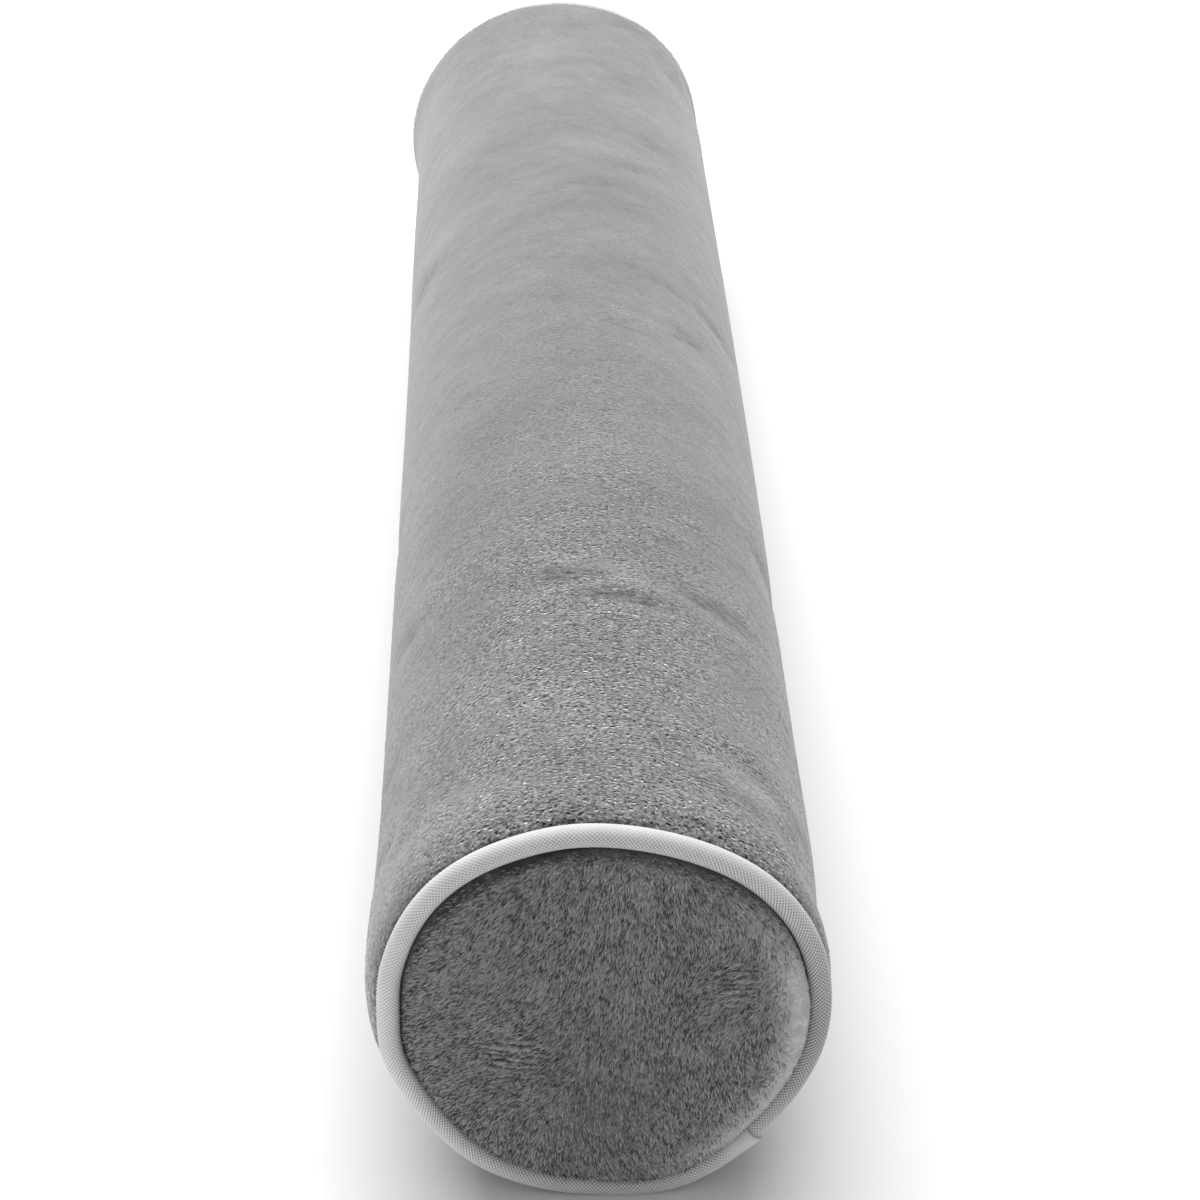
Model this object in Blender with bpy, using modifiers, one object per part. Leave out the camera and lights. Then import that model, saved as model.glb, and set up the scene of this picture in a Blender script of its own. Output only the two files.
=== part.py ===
"""Neck roll pillow: a filled plush bolster with a piped round panel at each end, lying on its side.

The roll lies along Y with its near end at -Y. X runs across it and Z up, in metres, and the origin
is on the resting surface under the middle of the roll.

Each piece is first turned about its own Z axis, whose top faces the near end, with Y pointing up.
There a place on the roll is given by two numbers: along, the distance behind the near seam, and
around, the angle in degrees from the top of the roll towards +X.
"""
import math
from collections import namedtuple

import bpy
from mathutils import Vector

# Driving dimensions
ROLL_RADIUS = 0.050
SEAM_SPACING = 0.519
FOOT_HALF_ANGLE = 12.0
PIPING_RADIUS = 0.0025
PIPING_RING_RADIUS = 0.0466
PANEL_RIM_RISE = 0.0072
PANEL_CROWN = 0.0025
GAP = 0.0003

# How finely the pieces are cut into faces, and how close points are welded
SIDES = 60
STATIONS = 48
PANEL_ROWS = 10
PIPING_STEPS = 72
PIPING_SIDES = 10
MERGE_DISTANCE = 0.00005

# Distances that follow from them
FOOT_DROP = ROLL_RADIUS * math.cos(math.radians(FOOT_HALF_ANGLE))
FACE_BEHIND = PIPING_RADIUS + GAP
PANEL_RIM_RADIUS = PIPING_RING_RADIUS - PIPING_RADIUS - GAP
PANEL_RIM_FRONT = -0.0006
PANEL_FLATNESS = 6.0
PANEL_ROUNDNESS = 3.5

# The tube panel leaves the seam behind the piping, swells, and settles to the full radius.
ShoulderRow = namedtuple("ShoulderRow", "behind outside")
SHOULDER = (
    ShoulderRow(behind=FACE_BEHIND, outside=-0.0050),
    ShoulderRow(behind=FACE_BEHIND, outside=-0.0031),
    ShoulderRow(behind=0.0034, outside=-0.0017),
    ShoulderRow(behind=0.0048, outside=-0.0005),
    ShoulderRow(behind=0.0078, outside=0.0004),
    ShoulderRow(behind=0.0125, outside=0.0009),
    ShoulderRow(behind=0.0190, outside=0.0008),
    ShoulderRow(behind=0.0270, outside=0.0003),
)

# How far each hand-sewn seam strays outwards from a circle
SeamWave = namedtuple("SeamWave", "around wide out")
NEAR_WAVES = (
    SeamWave(around=14, wide=32, out=-0.00095),
    SeamWave(around=62, wide=36, out=0.00085),
    SeamWave(around=124, wide=34, out=-0.00115),
    SeamWave(around=162, wide=24, out=0.00140),
    SeamWave(around=238, wide=30, out=-0.00120),
    SeamWave(around=271, wide=16, out=-0.00065),
    SeamWave(around=314, wide=34, out=0.00115),
)
FAR_WAVES = (
    SeamWave(around=40, wide=50, out=0.00050),
    SeamWave(around=135, wide=45, out=-0.00070),
    SeamWave(around=275, wide=50, out=0.00080),
)

# The folded end of each piping strip laps over the other end, on the outside of the seam. It is
# thickest at its edge and runs out at its root; both, and the edge's width, are in degrees around.
Lap = namedtuple("Lap", "edge root thick")
NEAR_LAP = Lap(edge=134.0, root=152.0, thick=0.00055)
FAR_LAP = Lap(edge=206.0, root=224.0, thick=0.00055)
LAP_EDGE_WIDTH = 0.8

End = namedtuple("End", "name side waves lap")
NEAR = End("near", 1, NEAR_WAVES, NEAR_LAP)
FAR = End("far", -1, FAR_WAVES, FAR_LAP)
SEAM_PULL_LENGTH = 0.036

# Fullness and dents of the stuffed tube: centre, half length, half width in degrees, and how far out
Swell = namedtuple("Swell", "along around long wide out")
SWELLS = (
    Swell(along=0.017, around=-92, long=0.034, wide=58, out=0.0012),
    Swell(along=0.046, around=-88, long=0.052, wide=50, out=0.0007),
    Swell(along=0.023, around=80, long=0.020, wide=38, out=-0.0015),
    Swell(along=SEAM_SPACING - 0.006, around=-92, long=0.018, wide=48, out=0.0016),
    Swell(along=SEAM_SPACING - 0.012, around=-45, long=0.026, wide=45, out=0.0012),
    Swell(along=SEAM_SPACING - 0.012, around=48, long=0.026, wide=42, out=0.0009),
    Swell(along=SEAM_SPACING - 0.010, around=88, long=0.028, wide=44, out=-0.0012),
    Swell(along=SEAM_SPACING - 0.062, around=-86, long=0.055, wide=50, out=-0.0004),
)
DENTS = (
    Swell(along=0.336, around=-64, long=0.013, wide=15, out=-0.0013),
    Swell(along=0.202, around=-79, long=0.014, wide=13, out=-0.0009),
    Swell(along=0.121, around=-60, long=0.012, wide=13, out=-0.0010),
    Swell(along=0.064, around=-74, long=0.014, wide=14, out=-0.0009),
    Swell(along=0.457, around=2, long=0.013, wide=20, out=-0.0007),
    Swell(along=0.400, around=35, long=0.013, wide=13, out=-0.0006),
    Swell(along=0.373, around=25, long=0.012, wide=15, out=-0.0009),
    Swell(along=0.351, around=10, long=0.012, wide=15, out=-0.0007),
    Swell(along=0.289, around=50, long=0.012, wide=30, out=-0.0010),
    Swell(along=0.259, around=39, long=0.014, wide=12, out=-0.0011),
    Swell(along=0.249, around=14, long=0.013, wide=12, out=-0.0008),
    Swell(along=0.164, around=72, long=0.013, wide=18, out=-0.0013),
    Swell(along=0.106, around=42, long=0.012, wide=17, out=-0.0007),
    Swell(along=0.098, around=6, long=0.013, wide=17, out=-0.0008),
)

# The tube bows a little towards +X.
BOW = 0.0006
BOW_MIDDLE = 0.290
BOW_LENGTH = 0.200

PLUSH_GREY = (0.26, 0.26, 0.26, 1.0)
PIPING_GREY = (0.46, 0.46, 0.46, 1.0)


def bell(distance, half_width):
    """A soft bump, 1 in its middle and 0 from half_width on."""
    share = abs(distance) / half_width
    if share >= 1.0:
        return 0.0
    return math.cos(0.5 * math.pi * share) ** 2


def turn_between(first, second):
    """The smaller turn between two directions, in degrees."""
    return abs((first - second + 180.0) % 360.0 - 180.0)


def around_of(point):
    return math.degrees(math.atan2(point.x, point.y)) % 360.0


def along_of(point):
    return 0.5 * SEAM_SPACING - point.z


def seam_out(end, around):
    """How far this end's seam lies outside its circle."""
    return sum(wave.out * bell(turn_between(around, wave.around), wave.wide) for wave in end.waves)


def tube_out(along, around):
    """How far the stuffed tube swells or is dented, away from the pull of its seams."""
    out = 0.0
    for swell in SWELLS + DENTS:
        out += swell.out * bell(along - swell.along, swell.long) * bell(
            turn_between(around, swell.around), swell.wide
        )
    return out


def move_radially(point, out):
    radius = math.hypot(point.x, point.y)
    if radius > GAP:
        point.x *= (radius + out) / radius
        point.y *= (radius + out) / radius


def press_on_surface(point):
    """Flattens what would reach below the surface that the roll lies on."""
    point.y = max(point.y, -FOOT_DROP)


def fabric(name, colour, roughness):
    material = bpy.data.materials.new(name)
    material.use_nodes = True
    shader = material.node_tree.nodes["Principled BSDF"]
    shader.inputs["Base Color"].default_value = colour
    shader.inputs["Roughness"].default_value = roughness
    shader.inputs["Metallic"].default_value = 0.0
    return material


def add_object(name, mesh, material, collection):
    piece = bpy.data.objects.new(name, mesh)
    piece.data.materials.clear()
    piece.data.materials.append(material)
    piece.data.shade_smooth()
    collection.objects.link(piece)
    return piece


def turned_mesh(name, profile):
    """The closed body that a profile of radius and height sweeps, from its top to its bottom."""
    outline = bpy.data.meshes.new(name + "_profile")
    edges = [(i, i + 1) for i in range(len(profile) - 1)]
    outline.from_pydata([(radius, 0.0, height) for radius, height in profile], edges, [])
    guide = bpy.data.objects.new(name + "_profile", outline)
    bpy.context.scene.collection.objects.link(guide)
    screw = guide.modifiers.new("turn", "SCREW")
    screw.axis = "Z"
    screw.steps = SIDES
    screw.render_steps = SIDES
    screw.use_merge_vertices = True
    screw.merge_threshold = MERGE_DISTANCE
    bpy.context.view_layer.update()
    seen = guide.evaluated_get(bpy.context.evaluated_depsgraph_get())
    mesh = bpy.data.meshes.new_from_object(seen)
    mesh.name = name
    bpy.data.objects.remove(guide)
    return mesh


def barrel_profile():
    """Half of the tube's outline from the near end face to the middle, and its mirror image."""
    first_station = SHOULDER[-1].behind
    step = (SEAM_SPACING - 2.0 * first_station) / STATIONS
    near = [(0.0, FACE_BEHIND)]
    near += [(ROLL_RADIUS + row.outside, row.behind) for row in SHOULDER]
    middle = [(ROLL_RADIUS, first_station + step * i) for i in range(1, STATIONS)]
    far = [(radius, SEAM_SPACING - behind) for radius, behind in reversed(near)]
    return [(radius, 0.5 * SEAM_SPACING - behind) for radius, behind in near + middle + far]


def make_barrel(material, collection):
    mesh = turned_mesh("barrel", barrel_profile())
    for vertex in mesh.vertices:
        point = vertex.co
        along, around = along_of(point), around_of(point)
        radius = math.hypot(point.x, point.y)
        on_tube = min(1.0, radius / PIPING_RING_RADIUS)
        out = tube_out(along, around)
        out += seam_out(NEAR, around) * bell(along, SEAM_PULL_LENGTH)
        out += seam_out(FAR, around) * bell(SEAM_SPACING - along, SEAM_PULL_LENGTH)
        move_radially(point, out * on_tube)
        point.x += BOW * bell(along - BOW_MIDDLE, BOW_LENGTH) * on_tube
        press_on_surface(point)
    return add_object("barrel", mesh, material, collection)


def panel_profile():
    """Face, rim and back of an end panel, as radius and height above the seam."""
    face = []
    for row in range(PANEL_ROWS):
        share = 1.0 - (1.0 - row / (PANEL_ROWS - 1)) ** 2
        puffed = (1.0 - share**PANEL_FLATNESS) ** (1.0 / PANEL_ROUNDNESS)
        height = PANEL_RIM_FRONT + PANEL_RIM_RISE * puffed + PANEL_CROWN * (1.0 - share**2)
        face.append((PANEL_RIM_RADIUS * share, height))
    return face + [(PANEL_RIM_RADIUS, -PIPING_RADIUS), (0.0, -PIPING_RADIUS)]


def make_end_panel(end, material, collection):
    name = "end_panel_" + end.name
    profile = panel_profile()
    if end.side < 0:
        profile = [(radius, -height) for radius, height in reversed(profile)]
    seam_height = 0.5 * SEAM_SPACING * end.side
    mesh = turned_mesh(name, [(radius, seam_height + height) for radius, height in profile])
    for vertex in mesh.vertices:
        point = vertex.co
        radius = math.hypot(point.x, point.y)
        move_radially(point, seam_out(end, around_of(point)) * radius / PANEL_RIM_RADIUS)
    return add_object(name, mesh, material, collection)


def lap_thickness(lap, around):
    """Full at the folded edge, and nothing at the root, where the strip goes on as one layer."""
    if not lap.edge < around < lap.root:
        return 0.0
    return lap.thick * (lap.root - around) / (lap.root - lap.edge)


def draw_up_to_edge(lap, around):
    """The ring of points just past the folded edge is drawn up to it, which makes the edge steep."""
    step = 360.0 / PIPING_STEPS
    if lap.edge < around <= lap.edge + step:
        return lap.edge + LAP_EDGE_WIDTH
    return around


def make_piping(end, material, collection):
    name = "piping_" + end.name
    bpy.ops.mesh.primitive_torus_add(
        major_segments=PIPING_STEPS,
        minor_segments=PIPING_SIDES,
        major_radius=PIPING_RING_RADIUS,
        minor_radius=PIPING_RADIUS,
    )
    ring = bpy.context.object
    mesh = ring.data.copy()
    mesh.name = name
    bpy.data.objects.remove(ring)
    for vertex in mesh.vertices:
        point = vertex.co
        outwards = math.hypot(point.x, point.y) - PIPING_RING_RADIUS
        forwards = point.z * end.side
        around = draw_up_to_edge(end.lap, around_of(point))
        grown = 1.0 + lap_thickness(end.lap, around) / PIPING_RADIUS
        outwards *= grown if outwards > 0.0 else 1.0
        forwards *= grown if forwards > 0.0 else 1.0
        radius = PIPING_RING_RADIUS + seam_out(end, around) + outwards
        point.x = radius * math.sin(math.radians(around))
        point.y = radius * math.cos(math.radians(around))
        point.z = (0.5 * SEAM_SPACING + forwards) * end.side
        press_on_surface(point)
    return add_object(name, mesh, material, collection)


def lay_down(pieces):
    """Lays the pieces along Y and stands them on the surface, centred on the origin."""
    for piece in pieces:
        piece.rotation_euler = (0.5 * math.pi, 0.0, 0.0)
    bpy.context.view_layer.update()
    corners = [piece.matrix_world @ Vector(c) for piece in pieces for c in piece.bound_box]
    lowest = Vector(min(corner[axis] for corner in corners) for axis in range(3))
    highest = Vector(max(corner[axis] for corner in corners) for axis in range(3))
    middle = 0.5 * (lowest + highest)
    for piece in pieces:
        piece.location -= Vector((middle.x, middle.y, lowest.z))


def main():
    for leftover in list(bpy.data.objects):
        bpy.data.objects.remove(leftover)
    collection = bpy.data.collections.new("neck_roll_pillow")
    bpy.context.scene.collection.children.link(collection)
    plush = fabric("short_plush", PLUSH_GREY, 0.95)
    woven = fabric("woven_bias_strip", PIPING_GREY, 0.85)
    pieces = [make_barrel(plush, collection)]
    for end in (NEAR, FAR):
        pieces.append(make_end_panel(end, plush, collection))
        pieces.append(make_piping(end, woven, collection))
    lay_down(pieces)


main()
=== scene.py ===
"""Neck roll pillow: a filled plush tube with a piped round panel at each end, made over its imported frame.

The roll lies along Y with its near end at -Y; X runs across it and Z up, in metres. A place on the
roll is given as in the part's source: along, the distance behind the near seam, and around, the
angle in degrees from the top of the roll towards +X.
"""

import math
from collections import namedtuple

import bpy
import numpy as np
from bpy.props import FloatProperty, IntProperty, PointerProperty, StringProperty
from bpy.types import Operator, Panel, PropertyGroup
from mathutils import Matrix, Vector, noise
from mathutils.bvhtree import BVHTree


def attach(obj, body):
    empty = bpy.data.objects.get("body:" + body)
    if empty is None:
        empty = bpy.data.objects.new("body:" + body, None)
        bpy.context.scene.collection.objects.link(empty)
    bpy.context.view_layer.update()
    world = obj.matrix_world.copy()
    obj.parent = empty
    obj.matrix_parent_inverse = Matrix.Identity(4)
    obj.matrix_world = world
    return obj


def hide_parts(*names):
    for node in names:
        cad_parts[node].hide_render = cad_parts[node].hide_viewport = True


bl_info = {
    "name": "Neck roll pillow",
    "version": (1, 0, 0),
    "blender": (4, 5, 0),
    "location": "3D View > Sidebar > Neck roll",
    "description": "A plush bolster with piped round ends, made over its packed frame",
    "category": "Object",
}

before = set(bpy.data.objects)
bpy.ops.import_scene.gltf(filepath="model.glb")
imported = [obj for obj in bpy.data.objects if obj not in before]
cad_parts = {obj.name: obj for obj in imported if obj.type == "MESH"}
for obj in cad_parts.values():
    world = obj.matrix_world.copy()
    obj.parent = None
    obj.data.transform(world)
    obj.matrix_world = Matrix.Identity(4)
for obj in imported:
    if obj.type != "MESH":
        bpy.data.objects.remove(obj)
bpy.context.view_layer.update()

# The roll's axis, seams and end panels, as the part's source sets them
SEAM_SPACING = 0.519
NEAR_SEAM = -0.5 * SEAM_SPACING
AXIS_X = 0.00102
AXIS_Z = 0.0489074
ROLL_RADIUS = 0.05
PIPING_RING_RADIUS = 0.0466
PIPING_RADIUS = 0.0025
PANEL_RIM_RADIUS = PIPING_RING_RADIUS - PIPING_RADIUS - 0.0003
PANEL_RIM_FRONT = -0.0006
PANEL_RIM_RISE = 0.0072
PANEL_CROWN = 0.0025
PANEL_FLATNESS = 6.0
PANEL_ROUNDNESS = 3.5
PANEL_BACK = -0.0025

# How far each hand-sewn seam strays outwards from a circle
SeamWave = namedtuple("SeamWave", "around wide out")
NEAR_WAVES = (
    SeamWave(around=14, wide=32, out=-0.00095),
    SeamWave(around=62, wide=36, out=0.00085),
    SeamWave(around=124, wide=34, out=-0.00115),
    SeamWave(around=162, wide=24, out=0.00140),
    SeamWave(around=238, wide=30, out=-0.00120),
    SeamWave(around=271, wide=16, out=-0.00065),
    SeamWave(around=314, wide=34, out=0.00115),
)
FAR_WAVES = (
    SeamWave(around=40, wide=50, out=0.00050),
    SeamWave(around=135, wide=45, out=-0.00070),
    SeamWave(around=275, wide=50, out=0.00080),
)

# side is 1 where the end faces -Y. The lap is where the strip's folded end lies over its other end.
End = namedtuple("End", "name side seam waves lap_edge lap_root")
NEAR = End("near", 1, 0.0, NEAR_WAVES, 134.0, 152.0)
FAR = End("far", -1, SEAM_SPACING, FAR_WAVES, 206.0, 224.0)
LAP_THICK = 0.0008

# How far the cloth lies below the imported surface, which the tips of its pile reach
TUBE_PILE_HEIGHT = 0.0003
PANEL_PILE_HEIGHT = 0.0007

# The tube's end faces lie this far inside the seams; rings that follow its shoulder, from a face on
TUBE_FACE = 0.0029
SHOULDER = np.array((0.0, 0.0004, 0.0011, 0.0021, 0.0035, 0.0052, 0.0074, 0.0102, 0.0134))
# How much slimmer the tube is before it is filled
UNFILLED = 0.0012

# Where a hand has brushed the pile of the tube: centre, half length, half width in degrees, the turn
# of the stroke in degrees, how deep it is pressed, and how much darker it looks
Stroke = namedtuple("Stroke", "along around long wide turn deep dark")
STROKES = (
    Stroke(along=0.336, around=-64, long=0.008, wide=15, turn=35, deep=0.0011, dark=0.26),
    Stroke(along=0.121, around=-60, long=0.006, wide=13, turn=18, deep=0.0008, dark=0.18),
    Stroke(along=0.202, around=-79, long=0.007, wide=11, turn=10, deep=0.0008, dark=0.12),
    Stroke(along=0.288, around=60, long=0.006, wide=14, turn=-8, deep=0.0008, dark=0.22),
    Stroke(along=0.289, around=37, long=0.005, wide=20, turn=0, deep=0.0006, dark=0.12),
    Stroke(along=0.259, around=39, long=0.006, wide=10, turn=0, deep=0.0008, dark=0.20),
    Stroke(along=0.250, around=14, long=0.004, wide=8, turn=6, deep=0.0006, dark=0.16),
    Stroke(along=0.373, around=25, long=0.005, wide=15, turn=-10, deep=0.0006, dark=0.14),
    Stroke(along=0.400, around=35, long=0.005, wide=13, turn=0, deep=0.0004, dark=0.08),
    Stroke(along=0.352, around=10, long=0.004, wide=12, turn=-14, deep=0.0005, dark=0.12),
    Stroke(along=0.164, around=71, long=0.006, wide=18, turn=-12, deep=0.0009, dark=0.20),
    Stroke(along=0.138, around=56, long=0.003, wide=12, turn=0, deep=0.0004, dark=0.10),
    Stroke(along=0.127, around=22, long=0.004, wide=9, turn=6, deep=0.0005, dark=0.12),
    Stroke(along=0.106, around=-6, long=0.004, wide=13, turn=8, deep=0.0007, dark=0.30),
    Stroke(along=0.096, around=9, long=0.004, wide=15, turn=0, deep=0.0008, dark=0.34),
    Stroke(along=0.106, around=40, long=0.004, wide=17, turn=-10, deep=0.0006, dark=0.22),
    Stroke(along=0.022, around=50, long=0.005, wide=22, turn=0, deep=0.0006, dark=0.20),
    Stroke(along=0.037, around=66, long=0.004, wide=14, turn=-12, deep=0.0006, dark=0.24),
    Stroke(along=0.072, around=-77, long=0.004, wide=12, turn=20, deep=0.0006, dark=0.20),
    Stroke(along=0.057, around=-70, long=0.004, wide=12, turn=20, deep=0.0006, dark=0.18),
    Stroke(along=0.037, around=-72, long=0.004, wide=12, turn=10, deep=0.0006, dark=0.20),
    Stroke(along=0.457, around=2, long=0.005, wide=18, turn=0, deep=0.0005, dark=0.07),
    Stroke(along=0.430, around=7, long=0.003, wide=9, turn=0, deep=0.0004, dark=0.06),
    Stroke(along=0.509, around=40, long=0.006, wide=22, turn=0, deep=0.0004, dark=0.12),
)

# How far the near panel's rim bulges over the piping, by the angle around
Bulge = namedtuple("Bulge", "around over")
NEAR_BULGE = (
    Bulge(around=0, over=0.0000),
    Bulge(around=45, over=0.0003),
    Bulge(around=70, over=0.0011),
    Bulge(around=92, over=0.0018),
    Bulge(around=115, over=0.0021),
    Bulge(around=140, over=0.0018),
    Bulge(around=180, over=0.0009),
    Bulge(around=225, over=0.0003),
    Bulge(around=260, over=0.0000),
    Bulge(around=360, over=0.0000),
)
FAR_BULGE = (Bulge(around=0, over=0.0004), Bulge(around=360, over=0.0004))

# Which way the pile of the near panel is brushed: a place on the panel, as seen from in front, the
# direction in degrees from +X towards +Z, and how far the stroke reaches
Brush = namedtuple("Brush", "across up direction reach")
NEAR_BRUSHES = (
    Brush(across=-0.026, up=0.022, direction=215, reach=0.016),
    Brush(across=0.000, up=0.030, direction=250, reach=0.014),
    Brush(across=0.024, up=0.024, direction=285, reach=0.013),
    Brush(across=0.027, up=0.010, direction=188, reach=0.006),
    Brush(across=0.034, up=0.000, direction=275, reach=0.014),
    Brush(across=-0.034, up=0.000, direction=200, reach=0.012),
    Brush(across=-0.019, up=-0.006, direction=172, reach=0.008),
    Brush(across=0.004, up=0.004, direction=262, reach=0.014),
    Brush(across=-0.020, up=-0.024, direction=235, reach=0.014),
    Brush(across=0.006, up=-0.016, direction=268, reach=0.012),
    Brush(across=0.024, up=-0.022, direction=282, reach=0.012),
    Brush(across=0.000, up=-0.036, direction=300, reach=0.012),
)
FAR_BRUSHES = (
    Brush(across=-0.020, up=0.015, direction=240, reach=0.020),
    Brush(across=0.020, up=0.015, direction=290, reach=0.020),
    Brush(across=0.000, up=-0.020, direction=262, reach=0.020),
)

# Where the near panel's pile lies in ripples across it: centre, and half its width and height
Ripple = namedtuple("Ripple", "across up wide high")
NEAR_RIPPLES = (
    Ripple(across=-0.0195, up=-0.0055, wide=0.0105, high=0.0085),
    Ripple(across=0.0275, up=0.0125, wide=0.0075, high=0.0080),
    Ripple(across=0.0350, up=-0.0140, wide=0.0040, high=0.0045),
)
RIPPLE_PITCH = 0.0015
RIPPLE_RELIEF = 0.00034


def linear(hex_colour):
    """A linear RGBA colour from an sRGB hex value such as 8C8C8C."""
    shares = [int(hex_colour[i : i + 2], 16) / 255.0 for i in (0, 2, 4)]
    return tuple(((s + 0.055) / 1.055) ** 2.4 if s > 0.04045 else s / 12.92 for s in shares) + (1.0,)


def bell(distance, half_width):
    """A soft bump, 1 in its middle and 0 from half_width on."""
    return np.cos(0.5 * math.pi * np.clip(np.abs(distance) / half_width, 0.0, 1.0)) ** 2


def turn_from(around, centre):
    """The signed turn from centre to around, in degrees."""
    return (np.asarray(around) - centre + 180.0) % 360.0 - 180.0


def on_roll(along, around, radius):
    """Points at a distance behind the near seam, an angle around and a radius from the roll's axis."""
    turn = np.radians(around)
    places = (AXIS_X + radius * np.sin(turn), NEAR_SEAM + along, AXIS_Z + radius * np.cos(turn))
    return np.stack(np.broadcast_arrays(*places), axis=-1)


def place_on_roll(points):
    """along, around and radius of each point."""
    across, up = points[..., 0] - AXIS_X, points[..., 2] - AXIS_Z
    return points[..., 1] - NEAR_SEAM, np.degrees(np.arctan2(across, up)), np.hypot(across, up)


def seam_out(end, around):
    """How far this end's seam lies outside its circle."""
    return sum(wave.out * bell(turn_from(around, wave.around), wave.wide) for wave in end.waves)


def clouds_at(points, size, seed):
    """Soft clouds from 0 to 1 over the points; size is a cloud's length along X, Y and Z."""
    places = points / np.array(size) + 17.3 * seed
    values = np.array([noise.fractal(Vector(place), 0.7, 2.0, 3) for place in places])
    return np.clip(0.5 + 0.55 * values, 0.0, 1.0)


def read_points(mesh):
    points = np.empty(len(mesh.vertices) * 3)
    mesh.vertices.foreach_get("co", points)
    return points.reshape(-1, 3)


def write_points(mesh, points):
    mesh.vertices.foreach_set("co", np.ascontiguousarray(points).ravel())
    mesh.update()


def ring_mesh(name, rings):
    """A closed mesh over rings of points, with a fan at each end."""
    count, sides = rings.shape[:2]
    ends = np.stack((rings[0].mean(axis=0), rings[-1].mean(axis=0)))
    points = np.concatenate((rings.reshape(-1, 3), ends))
    faces = []
    for row in range(count - 1):
        for side in range(sides):
            after = (side + 1) % sides
            first, second = row * sides, (row + 1) * sides
            faces.append((first + side, first + after, second + after, second + side))
    near_pole, far_pole = count * sides, count * sides + 1
    last = (count - 1) * sides
    for side in range(sides):
        after = (side + 1) % sides
        faces.append((near_pole, after, side))
        faces.append((far_pole, last + side, last + after))
    mesh = bpy.data.meshes.new(name)
    mesh.from_pydata([tuple(point) for point in points], [], faces)
    mesh.shade_smooth()
    return mesh


def add_piece(name, mesh):
    piece = bpy.data.objects.new(name, mesh)
    bpy.context.scene.collection.objects.link(piece)
    return piece


def store(mesh, name, values):
    """Keeps a number or a vector for each point of the mesh, for its material."""
    kind = "FLOAT" if values.ndim == 1 else "FLOAT_VECTOR"
    if name in mesh.attributes:
        mesh.attributes.remove(mesh.attributes[name])
    attribute = mesh.attributes.new(name, kind, "POINT")
    attribute.data.foreach_set("value" if values.ndim == 1 else "vector", values.ravel().astype(np.float32))


def solid_surface(node):
    """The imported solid's surface, for rays; the node itself is left alone."""
    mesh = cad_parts[node].data
    triangles = [tuple(polygon.vertices) for polygon in mesh.polygons]
    return BVHTree.FromPolygons([v.co.copy() for v in mesh.vertices], triangles)


def smooth_rings(values, times):
    """Averages each value with its neighbours around the ring and along the rings."""
    for _ in range(times):
        values = 0.5 * values + 0.25 * (np.roll(values, 1, axis=1) + np.roll(values, -1, axis=1))
        inner = 0.5 * values[1:-1] + 0.25 * (values[:-2] + values[2:])
        values = np.concatenate((values[:1], inner, values[-1:]))
    return values


def puff_up(piece, held, pressure, room, stretch=0.0):
    """Fills the piece by a cloth simulation under pressure; no point moves further than room."""
    group = piece.vertex_groups.new(name="held")
    for index, share in enumerate(held):
        if share > 0.0:
            group.add([index], float(share), "REPLACE")
    cloth = piece.modifiers.new("filling", "CLOTH")
    settings = cloth.settings
    settings.quality = 5
    settings.mass = 0.15
    settings.tension_stiffness = 30.0
    settings.compression_stiffness = 30.0
    settings.shear_stiffness = 8.0
    settings.bending_stiffness = 0.6
    settings.use_pressure = True
    settings.uniform_pressure_force = pressure
    settings.shrink_min = -stretch
    settings.vertex_group_mass = group.name
    settings.effector_weights.gravity = 0.0
    cloth.collision_settings.use_collision = False
    cloth.point_cache.frame_start = 1
    cloth.point_cache.frame_end = 20
    scene = bpy.context.scene
    for number in range(1, 21):
        scene.frame_set(number)
    filled = piece.evaluated_get(bpy.context.evaluated_depsgraph_get())
    before, after = read_points(piece.data), read_points(filled.data)
    piece.modifiers.remove(cloth)
    piece.vertex_groups.remove(group)
    scene.frame_set(1)
    if not np.isfinite(after).all():
        raise RuntimeError(f"the filling of {piece.name} blew up")
    moved = after - before
    length = np.linalg.norm(moved, axis=1, keepdims=True)
    write_points(piece.data, before + moved * np.minimum(1.0, room / np.maximum(length, 1e-9)))


def tube_stations(spacing):
    """How far behind the near seam each ring of the tube lies."""
    first, last = TUBE_FACE + SHOULDER[-1], SEAM_SPACING - TUBE_FACE - SHOULDER[-1]
    count = int(round((last - first) / spacing))
    between = np.linspace(first, last, count + 1)[1:-1]
    return np.concatenate((TUBE_FACE + SHOULDER, between, (SEAM_SPACING - TUBE_FACE - SHOULDER)[::-1]))


def packed_radii(stations, around):
    """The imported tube's radius at each ring and angle, a little smoothed between its ends."""
    surface = solid_surface("barrel")
    radii = np.empty((len(stations), len(around)))
    for row, along in enumerate(stations):
        inside = min(max(along, TUBE_FACE + 0.0001), SEAM_SPACING - TUBE_FACE - 0.0001)
        middle = Vector(on_roll(inside, 0.0, 0.0))
        for side, angle in enumerate(around):
            out = Vector(on_roll(0.0, angle, 1.0) - on_roll(0.0, angle, 0.0))
            radii[row, side] = surface.ray_cast(middle, out)[3]
    smooth = smooth_rings(radii, 4)
    smooth[[0, -1]] = radii[[0, -1]]
    return smooth


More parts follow.
